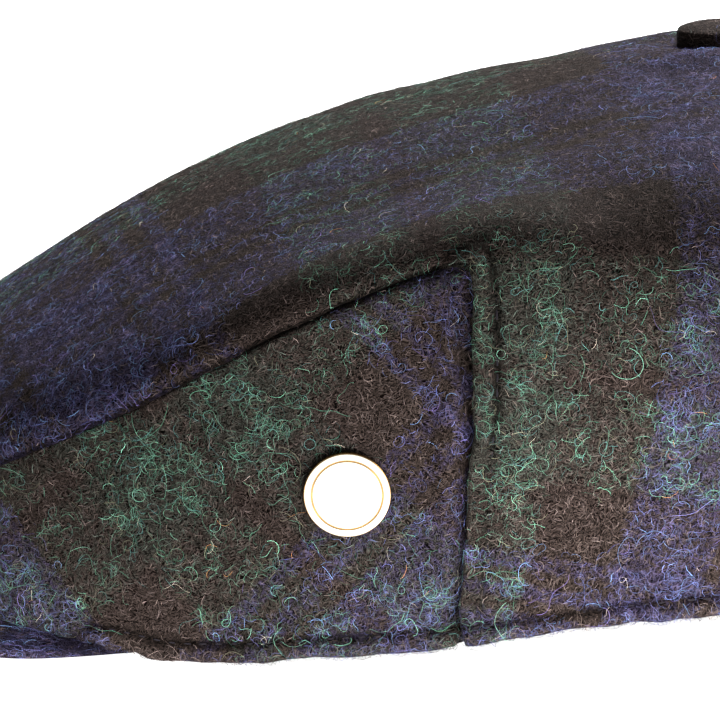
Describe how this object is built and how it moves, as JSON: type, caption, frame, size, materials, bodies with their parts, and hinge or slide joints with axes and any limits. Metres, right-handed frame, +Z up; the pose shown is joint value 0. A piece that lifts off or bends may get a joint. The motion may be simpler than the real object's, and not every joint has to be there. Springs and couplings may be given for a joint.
{
  "type": "flat cap",
  "caption": "Soft tartan tweed flat cap with a stiff curved peak under its crown, sewn side panels, a covered top button and a round metal badge.",
  "frame": {"origin": "on the floor, under the middle of the cap's outline", "axes": "+Z up, -Y towards the front of the peak, +X towards the wearer's left"},
  "size_m": [0.173, 0.253, 0.1048],
  "materials": {
    "tweed": "milled wool tartan with a soft nap",
    "gilt": "polished",
    "steel": "plain"
  },
  "bodies": {
    "root": {"crown": "tweed", "left_side_panel": "tweed", "right_side_panel": "tweed", "peak": "tweed", "top_button": "tweed", "badge": "gilt", "badge_rivet": "steel"}
  },
  "joints": []
}
